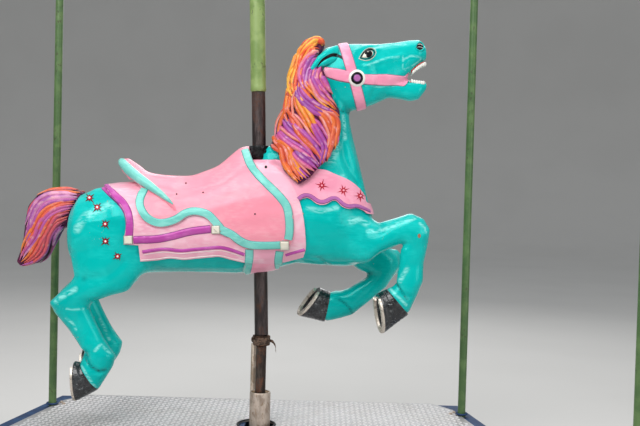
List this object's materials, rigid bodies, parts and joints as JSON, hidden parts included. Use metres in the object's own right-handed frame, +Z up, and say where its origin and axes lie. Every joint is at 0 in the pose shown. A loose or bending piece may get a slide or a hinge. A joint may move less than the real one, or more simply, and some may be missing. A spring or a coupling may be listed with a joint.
{
  "type": "fairground carousel jumping horse on its pole, with its deck bay",
  "caption": "Carousel jumping horse with saddle and bridle on a sliding steel pole, over one wedge-shaped tread-plate deck bay with its drop rods.",
  "frame": {"origin": "on the floor, at the middle of the deck bay's rectangle", "axes": "+X towards the horse's nose, +Y towards the middle of the carousel, +Z up along the drop rods"},
  "size_m": [1.8582, 1.233, 2.15],
  "materials": {
    "turquoise_enamel": "gloss enamel on moulded glass fibre",
    "mane_enamel": "hand-painted gloss enamel, orange to magenta",
    "tail_enamel": "hand-painted gloss enamel, magenta and orange",
    "pink_enamel": "gloss enamel",
    "pale_pink_enamel": "gloss enamel",
    "mint_enamel": "gloss enamel",
    "hoof_black": "gloss enamel",
    "silver_paint": "silver paint",
    "weathered_steel": "worn and lightly rusted",
    "galvanised_steel": "galvanised, weathered",
    "black_iron": "black paint",
    "bronze": "oiled",
    "tread_plate": "raised bar tread pattern",
    "blue_paint": "gloss paint",
    "olive_paint": "worn paint",
    "pale_green_paint": "worn paint"
  },
  "bodies": {
    "deck": {"deck_plate": "tread_plate", "inner_edge_beam": "blue_paint", "outer_edge_beam": "blue_paint", "left_seam_beam": "blue_paint", "right_seam_beam": "blue_paint", "left_joist": "blue_paint", "right_joist": "blue_paint", "drop_rod_inner_left": "olive_paint", "drop_rod_inner_right": "olive_paint", "drop_rod_outer_left": "olive_paint", "drop_rod_outer_right": "olive_paint", "sleeve_base_plate": "galvanised_steel", "guide_sleeve": "galvanised_steel", "guide_bush": "bronze", "hole_ring": "black_iron"},
    "horse": {"trunk": "turquoise_enamel", "neck": "turquoise_enamel", "head": "turquoise_enamel", "lower_jaw": "turquoise_enamel", "right_ear": "turquoise_enamel", "left_ear": "turquoise_enamel", "right_fore_leg": "turquoise_enamel", "left_fore_leg": "turquoise_enamel", "right_hind_leg": "turquoise_enamel", "left_hind_leg": "turquoise_enamel", "right_fore_hoof": "hoof_black", "left_fore_hoof": "hoof_black", "right_hind_hoof": "hoof_black", "left_hind_hoof": "hoof_black", "right_fore_shoe": "silver_paint", "left_fore_shoe": "silver_paint", "right_hind_shoe": "silver_paint", "left_hind_shoe": "silver_paint", "mane": "mane_enamel", "forelock": "mane_enamel", "tail": "tail_enamel", "saddle_blanket": "pale_pink_enamel", "saddle": "pink_enamel", "cantle": "mint_enamel", "girth": "pale_pink_enamel", "breast_collar": "pale_pink_enamel", "bridle": "pink_enamel", "horse_pole": "weathered_steel", "pole_sleeve": "pale_green_paint", "withers_collar": "black_iron", "pole_coupling": "weathered_steel", "lower_rod": "weathered_steel", "steady_rod": "galvanised_steel"}
  },
  "joints": [
    {"name": "horse_rise", "type": "slide", "parent": "deck", "child": "horse", "axis": [0, 0, 1], "range_m": [-0.045, 0.14]}
  ]
}
